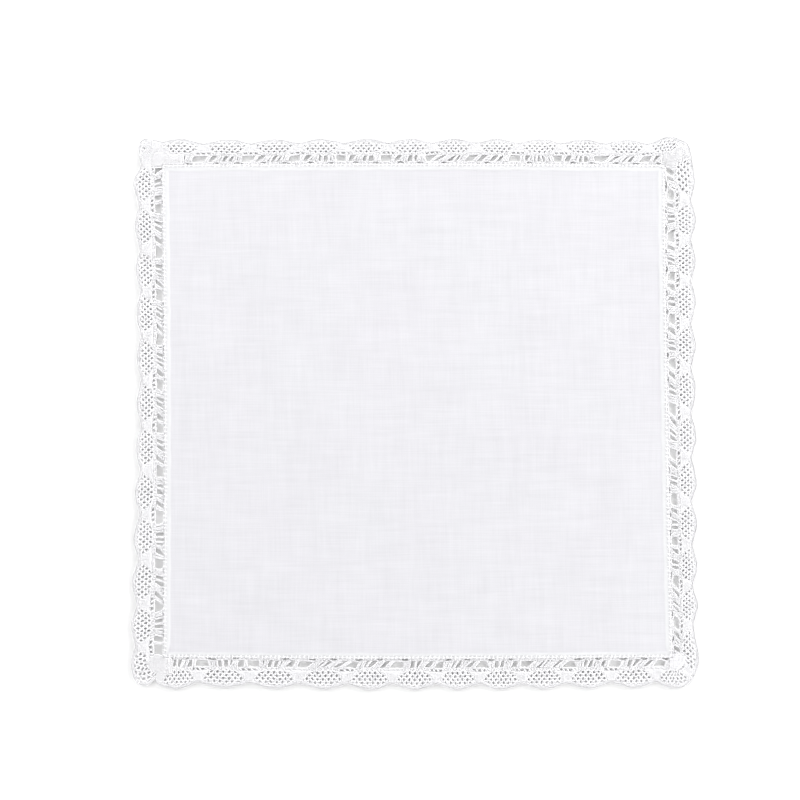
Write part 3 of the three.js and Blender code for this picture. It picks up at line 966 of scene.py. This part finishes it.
# steps from spoke to spoke round the corner, and beyond it, where the gathers end nearer the hem
SPOKE_STEP, LATER_FROM, LATER_STEP, LATER_REACH = 1.1, CORNER_RUN + 0.6, 0.75, 5.4
TIP_AT, TIP_HALF, TIP_REACH = 12.0, 5.2, 13.2
GATHER_LIFT, GATHER_RISE = 0.18, 0.1
GATHER_RINGS, GATHER_SPOKES = 0.31, 0.27
GATHER_TONES = ((-0.8, 0.9), (1.2, 3.0), (0.1, 1.9), (0.4, 2.2))
print("gathered, mm:", [last - first for first, last in GATHER_SPANS])


def gathers(side):
    """Close weave in polar terms: rings at out = 0.8 + 0.55 * j, spokes at even turns.

    A ring passes over where the numbers of ring and spoke add up to even, and under elsewhere.
    """
    first, last = GATHER_SPANS[side]
    reach = GATHER_REACH[side]
    tip_reach = TIP_REACH if side == BACK else reach
    out = np.arange(GATHER_FROM, tip_reach, GATHER_ROW)
    past = np.arange(first, last, SPOKE_STEP)
    past = np.concatenate([past[past < CORNER_RUN], np.arange(LATER_FROM, last, LATER_STEP)])
    inside = out[:, None] < np.where(np.abs(past - TIP_AT) < TIP_HALF, tip_reach, reach)
    inside &= (out < LATER_REACH)[:, None] | (past < LATER_FROM)
    run = side_ends[side] + past
    share, out = repeat_at(run), out[:, None] / fullness(run)
    turns = (-1.0) ** (np.arange(len(out))[:, None] + np.arange(len(run))[None])
    rings = lay(share, out, MIDDLE + GATHER_LIFT + GATHER_RISE * turns)
    spokes = lay(share, out, MIDDLE + GATHER_LIFT - GATHER_RISE * turns).transpose(1, 0, 2)
    return [thread_tubes(rings, GATHER_RINGS, inside, GATHER_TONES[side]),
            thread_tubes(spokes, GATHER_SPOKES, inside.T, GATHER_TONES[side])]


# %% [markdown]
# At the back left the strip's two ends lap over each other. The lap is a small square of weave that
# lies on top. It is drawn straight in table terms, because it doesn't follow the strip, and its
# outline is ragged, with a few specks left out where the lace below shows through.

# %% The lap of the ends
LAP_LOW, LAP_HIGH = np.array([-138.4, 123.3]), np.array([-122.4, 137.0])
LAP_SPACING, LAP_HEIGHT, LAP_RISE, LAP_THREAD = 0.6, 1.05, 0.1, 0.27
LAP_TONES = (-0.3, 1.5)
LAP_WAVER, LAP_CUT, LAP_INSET = 1.2, 3.0, 0.4
# the limit of the ragged outline, how much it wavers, and how fast
RAGGED_FROM, RAGGED_SIZE, RAGGED_RATE = 0.5, 4, 1.5
SPECK_RATE, SPECK_BELOW = 2.1, -0.21
print("lap, mm:", np.round(LAP_HIGH - LAP_LOW, 1).tolist())


def lap_patch():
    """A square of plain weave laid over the corner in table terms, with a ragged outline.

    A length is kept where the distance to the nearest side is more than a wavering limit, where
    it is not in one of the few specks, and where the corner in polar terms shows it inside the
    lace's own outline.
    """
    counts = ((LAP_HIGH - LAP_LOW) / LAP_SPACING).astype(int)
    x, y = (np.linspace(LAP_LOW[i], LAP_HIGH[i], counts[i]) for i in (0, 1))
    grid = np.stack(np.meshgrid(x, y, indexing="ij"), axis=-1)
    inward = np.minimum(grid - LAP_LOW, LAP_HIGH - grid)
    grid = grid + LAP_WAVER * unevenness(grid)[..., :2]
    limit = RAGGED_FROM + RAGGED_SIZE * unevenness(RAGGED_RATE * grid)[..., 2]
    inside = (inward.min(axis=-1) > limit) & (inward.sum(axis=-1) > LAP_CUT)
    inside &= unevenness(SPECK_RATE * grid)[..., 0] > SPECK_BELOW
    gap = (grid - CORNERS[BACK]) * (-1, 1)
    ahead, beside = np.maximum(gap, 0), np.minimum(gap, 0)
    past = CORNER_RUN * np.arctan2(ahead[..., 1], ahead[..., 0]) / corner_turns[LEFT]
    run = side_ends[LEFT] + past + beside[..., 1] - beside[..., 0]
    outline = full_depth(repeat_at(np.mod(run, RUN_LENGTH))) * fullness(run)
    inside &= np.hypot(ahead[..., 0], ahead[..., 1]) < outline - LAP_INSET
    turns = (-1.0) ** (np.arange(counts[0])[:, None] + np.arange(counts[1])[None])
    one_way = at_height(grid, LAP_HEIGHT + LAP_RISE * turns)
    other_way = at_height(grid, LAP_HEIGHT - LAP_RISE * turns).transpose(1, 0, 2)
    return [thread_tubes(one_way, LAP_THREAD, inside, LAP_TONES),
            thread_tubes(other_way, LAP_THREAD, inside.T, LAP_TONES)]


# %% [markdown]
# ## Cotton thread
# Lace thread is two plies twisted together, bleached but not bright. The twist is a diagonal line
# on the thread's own UV map: how far round plus how far along. It paints a little shade into the
# groove between the plies and lifts the plies with a bump. Each thread has its own tone.

# %% Finish of the lace
THREAD_WHITE = (0.851, 0.847, 0.863)
# length of a thread in which its two plies pass each other once
PLY_LENGTH, PLIES = 0.9, 2
BUMP_HEIGHT = 0.04 * MM

thread_finish = Finish("lace_thread")
_, far_along, far_round = thread_finish.own_map()
twist = ((far_along * (2 * np.pi / PLY_LENGTH)) + (far_round * (2 * np.pi * PLIES))).sine()
own_tone = thread_finish.own_value("thread_tone")
place = thread_finish.object_place()
fuzz = thread_finish.noise(place, 2600.0, detail=3.0)
patchy = thread_finish.noise(place, 55.0)
# twist * 0.018 is painted shade in the groove between the plies
brightness = 0.915 + own_tone * 0.05 + twist * 0.018 + fuzz * 0.04 + patchy * 0.02
thread_finish.set(
    Base_Color=thread_finish.shade(THREAD_WHITE, brightness),
    Roughness=0.85,
    Specular_IOR_Level=0.25,
    Sheen_Weight=0.15,
    Sheen_Roughness=0.6,
    Normal=thread_finish.bump(twist * 0.5 + fuzz * 0.5, BUMP_HEIGHT, 0.6),
)
print("nodes of the lace's finish:", len(thread_finish.nodes))

# %% [markdown]
# The strip becomes four lengths, one for each side with half a corner at both ends. One object
# would have too many triangles to handle well, and the strip has no seam of its own to part it at.

# %% Make the four lengths of lace
lace_pieces = []
for side, side_name in enumerate(SIDE_NAMES):
    repeats = own_repeats(side)
    parts = fan_net(repeats, side) + leaf_weave(repeats, side) + fan_edges(repeats, side)
    parts += outer_trail(side) + running_threads(side) + footing_weave(repeats, side)
    parts += middle_pairs(repeats, side) + open_row(repeats, side) + gathers(side)
    if side == LEFT:
        parts += lap_patch()
    points, quads, marks, tone = join_tubes(parts)
    lace_pieces.append(make_piece(f"lace_{side_name}", points, quads, marks,
                                  {"thread_tone": tone}, thread_finish))

# %% [markdown]
# ## The cloth
# The lawn is a thin sheet on the soft ripples of its solid. Its grid lines crowd together at the
# hem, where the cloth is folded over twice and stands a little higher. An even grid that fine would
# need fifty times the points. The sheet has an upper and a lower face that meet round the edge.

# %% The cloth's grid
CLOTH_CELLS = (136, 132)
# distances of the first grid lines from the edge
HEM_STEPS = np.array([0, 0.12, 0.4, 0.9, 1.5, 2.1, 2.6, 2.85, 3.1, 3.4, 3.9, 4.8])


def cloth_lines(length, cells):
    """Shares of a length: close lines at both hems and even lines between them."""
    edge = HEM_STEPS / length
    inner = np.linspace(edge[-1], 1 - edge[-1], cells)[1:-1]
    return np.concatenate([edge, inner, 1 - edge[::-1]])


def cloth_place(across, up):
    """Bilinear between the four corners, plus the sides' bows as sines."""
    back = CORNERS[0] + (CORNERS[1] - CORNERS[0]) * across[..., None]
    front = CORNERS[3] + (CORNERS[2] - CORNERS[3]) * across[..., None]
    flat = front + (back - front) * up[..., None]
    bow_x = np.sin(np.pi * up) * (BOWS[RIGHT] * across - BOWS[LEFT] * (1 - across))
    bow_y = np.sin(np.pi * across) * (BOWS[BACK] * up - BOWS[FRONT] * (1 - up))
    return flat + np.stack([bow_x, bow_y], axis=-1)


cloth_width, cloth_length = side_lengths[BACK], side_lengths[RIGHT]
across, up = np.meshgrid(cloth_lines(cloth_width, CLOTH_CELLS[0]),
                         cloth_lines(cloth_length, CLOTH_CELLS[1]), indexing="ij")
flat = cloth_place(across, up)
from_sides = np.minimum(across, 1 - across) * cloth_width
from_ends = np.minimum(up, 1 - up) * cloth_length
inset = np.minimum(from_sides, from_ends)
print("cloth, mm:", np.round([cloth_width, cloth_length], 1).tolist(), "points:", across.size)

# %% [markdown]
# The hem's inner edge wavers, because it was turned by hand, and along the front it is narrower.
# Every height is a blend: the lawn's own ripples away from the edge, and the hem's height near it.
# The outermost half millimetre rounds down to the fold.

# %% Heights of lawn and hem
HEM_WIDTH, HEM_HEIGHT, LAWN_HEIGHT = 2.9, 1.13, 1.0
LAWN_THICKNESS, RIPPLE = 0.3, 0.12
RIPPLE_LENGTHS = (120, 160, 210)
WAVER_RATE, HEM_WAVER, PUCKER = 0.8, 0.7, 0.22
# along the front the hem was turned this much narrower, between these distances from its edge
FRONT_NARROWER, FRONT_SPAN = 0.7, (3, 6)
# the hem's step down to the lawn starts before its edge and ends after it
STEP_BEFORE, STEP_AFTER = 0.8, 0.6
# the fold: where its rounding runs, its height, and the underside's height there and further in
FOLD_SPAN, FOLD_HEIGHT, FOLD_UNDER, FOLD_DROP = (-0.15, 0.35), 0.7, 0.68, 0.64


def ripples(flat):
    """Height of the lawn: two crossed sine waves and a slanting one."""
    x, y = flat[..., 0], flat[..., 1]
    wide, tall, slanting = RIPPLE_LENGTHS
    crossed = np.sin(2 * np.pi * x / wide) * np.sin(2 * np.pi * y / tall)
    return RIPPLE * (crossed + np.sin(2 * np.pi * (x + y) / slanting)) / 2


def smooth(value, low, high):
    """0 below low, 1 above high, and s * s * (3 - 2 * s) of the share s between them."""
    share = np.clip((value - low) / (high - low), 0, 1)
    return share * share * (3 - 2 * share)


waver = unevenness(flat * WAVER_RATE)
near_front = 1 - smooth(up * cloth_length, *FRONT_SPAN)
hem_edge = HEM_WIDTH + HEM_WAVER * waver[..., 0] - FRONT_NARROWER * near_front
on_hem = 1 - smooth(inset, hem_edge - STEP_BEFORE, hem_edge + STEP_AFTER)
pucker = PUCKER * waver[..., 2] * smooth(inset, 0, 1)
top = LAWN_HEIGHT + ripples(flat) + (HEM_HEIGHT + pucker - LAWN_HEIGHT - ripples(flat)) * on_hem
rounding = smooth(inset, *FOLD_SPAN)
top = FOLD_HEIGHT + (top - FOLD_HEIGHT) * rounding
under = (top - LAWN_THICKNESS) * (1 - on_hem) + on_hem * (FOLD_UNDER - FOLD_DROP * rounding)
print("cloth heights, mm:", np.round([under.min(), top.max()], 2).tolist())

# %% [markdown]
# Faces join neighbouring grid points, and the lower face is the same list turned over. A ring of
# faces round the rim closes the sheet, so it has no open edge anywhere.

# %% Faces of the cloth
rows, columns = across.shape
count = rows * columns
index = np.arange(count).reshape(rows, columns)


def grid_quads(index):
    """Faces between neighbouring grid points, anticlockwise from above."""
    return np.stack([index[:-1, :-1], index[1:, :-1], index[1:, 1:], index[:-1, 1:]],
                    axis=-1).reshape(-1, 4)


rim = np.concatenate([index[:-1, 0], index[-1, :-1], index[:0:-1, -1], index[0, :0:-1]])
rim_quads = np.stack([rim, rim + count, np.roll(rim, -1) + count, np.roll(rim, -1)], axis=-1)
cloth_quads = np.concatenate([grid_quads(index), grid_quads(index)[:, ::-1] + count, rim_quads])
cloth_points = np.concatenate([at_height(flat, top), at_height(flat, under)]).reshape(-1, 3)
cloth_uv = np.stack([across * cloth_width, up * cloth_length], axis=-1).reshape(-1, 2)
cloth_uv = np.concatenate([cloth_uv, cloth_uv])[cloth_quads]
inset_values = np.tile((inset + HEM_WIDTH - hem_edge).ravel(), 2)
print("cloth faces:", len(cloth_quads))

# %% [markdown]
# ## Finish of the lawn
# Lawn is a plain weave of fine threads, about 26 to the centimetre. The thread lines come from two
# sines on the cloth's own map, and which thread is on top comes from their product. What the eye
# sees first is less regular: slubs, the slightly thicker threads, which draw faint streaks along
# and across. The hem is three layers deep, so it is whiter and more opaque.

# %% Plain weave and slubs
WARP_PITCH, WEFT_PITCH = 0.40, 0.37

lawn_finish = Finish("cotton_lawn")
lawn_map, warp_line, weft_line = lawn_finish.own_map()
warp_wave = (warp_line * (np.pi / WARP_PITCH)).sine()
weft_wave = (weft_line * (np.pi / WEFT_PITCH)).sine()
over_under = warp_wave * weft_wave
weave = (warp_wave.size() * (1 + over_under) + weft_wave.size() * (1 - over_under)) * 0.5
weft_slubs = lawn_finish.drawn_noise(lawn_map, (0.04, 1.6, 1), 3.0, 0.6)
warp_slubs = lawn_finish.drawn_noise(lawn_map, (1.5, 0.045, 1), 3.0, 0.6)
wide_slubs = lawn_finish.drawn_noise(lawn_map, (0.03, 0.28, 1), 2.0, 0.5)
tall_slubs = lawn_finish.drawn_noise(lawn_map, (0.25, 0.03, 1), 2.0, 0.5)
mottle = lawn_finish.noise(lawn_map, 0.035, 2.0, 0.5)
patches = lawn_finish.noise(lawn_map, 0.11, 2.0, 0.6)
streaks = (weft_slubs * 0.17 + warp_slubs * 0.115 + wide_slubs * 0.08 + tall_slubs * 0.07
           + mottle * 0.06 + patches * 0.05)
print("threads to the cm:", round(10 / WARP_PITCH), "by", round(10 / WEFT_PITCH))

# %% [markdown]
# The piece keeps its distance from the hem's wavering edge as a value for each point, so the finish
# knows hem from lawn without a drawn mask. A faint painted shade runs along the fold's inner edge,
# and the lawn's tint drifts slowly between a warmer and a cooler white.

# %% Lawn, painted fold shade and hem
LAWN_WARM, LAWN_COOL = (0.646, 0.634, 0.667, 1), (0.636, 0.638, 0.661, 1)
HEM_WHITE = (0.715, 0.718, 0.729)

from_edge = lawn_finish.own_value("from_edge")
in_lawn = lawn_finish.smooth_step(from_edge, 2.4, 3.4)
fold_painted_shade = in_lawn * (1 - lawn_finish.smooth_step(from_edge, 3.1, 4.2))
# the fold's painted shade darkens the lawn along the hem's inner edge
lawn_tone = 0.712 + streaks + weave * 0.02 - fold_painted_shade * 0.006
# the hem along the front is painted 0.03 darker as shade
clear_of_front_shade = lawn_finish.smooth_step(weft_line, *FRONT_SPAN)
hem_tone = 0.955 + clear_of_front_shade * 0.03 + weft_slubs * 0.02 + weave * 0.012
lawn_tint = lawn_finish.blend(lawn_finish.noise(lawn_map, 0.022, 1.0), LAWN_WARM, LAWN_COOL)
lawn_colour = lawn_finish.shade(lawn_tint, lawn_tone)
hem_colour = lawn_finish.shade(HEM_WHITE, hem_tone)
relief = weave * 0.6 + weft_slubs * 0.5 + warp_slubs * 0.3
lawn_finish.set(
    Base_Color=lawn_finish.blend(in_lawn, hem_colour, lawn_colour),
    Roughness=0.9,
    Specular_IOR_Level=0.2,
    Sheen_Weight=0.1,
    Sheen_Roughness=0.5,
    Normal=lawn_finish.bump(relief, BUMP_HEIGHT, 0.5),
)
cloth = make_piece("lawn_square", cloth_points, cloth_quads, cloth_uv,
                   {"from_edge": inset_values}, lawn_finish)

# %% [markdown]
# ## The sewing
# The strip is whipped to the hem: short stitches go over the footing's edge and into the fold, each
# leaning a little the same way. Under them a thread of two plies lies along the seam and fills the
# gap between hem and lace. They are threads like the lace's, so they use the same tubes.

# %% Whip stitches and the seam thread
SEWING_TONES = (1.4, 2.2)
# distances out and heights of a stitch's points, from inside the lace to inside the hem
STITCH_OUT = np.array([0.85, 0.6, 0.1, -0.45, -0.9, -1.1])
STITCH_HEIGHT = np.array([0.62, 1.0, 1.42, 1.5, 1.42, 1.15])
STITCH_FIRST, STITCH_STEP, STITCH_JITTER, STITCH_THREAD = 1.0, 2.1, 0.25, 0.12
STITCH_LEAN, LEAN_SIZES = 0.3, (0.6, 1.4)
SEAM_STEP, SEAM_TWIST, SEAM_THREAD = 1.1, 4.4, 0.26
SEAM_OUT, SEAM_SWING, SEAM_HEIGHT, SEAM_RISE = -0.3, 0.14, 0.98, 0.08


def whip_stitches():
    """One short thread every 2.1 mm of each side, leaning 0.6 mm from its outer to its inner end."""
    runs = np.concatenate([start + np.arange(STITCH_FIRST, length, STITCH_STEP)
                           for start, length in zip(side_starts, side_lengths)])
    runs = runs + rng.uniform(-STITCH_JITTER, STITCH_JITTER, len(runs))
    lean = np.linspace(STITCH_LEAN, -STITCH_LEAN, len(STITCH_OUT))
    run = runs[:, None] + lean * rng.uniform(*LEAN_SIZES, (len(runs), 1))
    point, outward = hem_place(run)
    path = at_height(point + outward * STITCH_OUT[:, None], STITCH_HEIGHT)
    return thread_tubes(path, STITCH_THREAD, tones=SEWING_TONES)


def seam_thread():
    """Two plies half a turn apart: out = -0.3 + 0.14 * cos(turn), height = 0.98 + 0.08 * sin(turn)."""
    run = np.arange(0, RUN_LENGTH, SEAM_STEP)[None]
    point, outward = hem_place(run)
    turn = np.array([[0.0], [np.pi]]) + 2 * np.pi * run / SEAM_TWIST
    out = SEAM_OUT + SEAM_SWING * np.cos(turn)
    path = at_height(point + outward * out[..., None], SEAM_HEIGHT + SEAM_RISE * np.sin(turn))
    return thread_tubes(path, SEAM_THREAD, tones=SEWING_TONES)


points, quads, marks, tone = join_tubes([whip_stitches(), seam_thread()])
stitches = make_piece("seam_stitches", points, quads, marks, {"thread_tone": tone}, thread_finish)

# %% [markdown]
# ## Joining the pieces to the frame
# Each piece rides on the one body, and the solid it stands for is hidden. The cloth was cut to
# the finished square and 5.8 mm on each side for the hem that is turned twice.

# %% Ride and replace
for piece in lace_pieces:
    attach(piece, "root")
    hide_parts("lace_edging")
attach(cloth, "root")
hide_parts("cloth_panel")
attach(stitches, "root")
print("pieces:", len(lace_pieces) + 2)

# %% [markdown] The box of the dressed model should agree with the solid model's own.
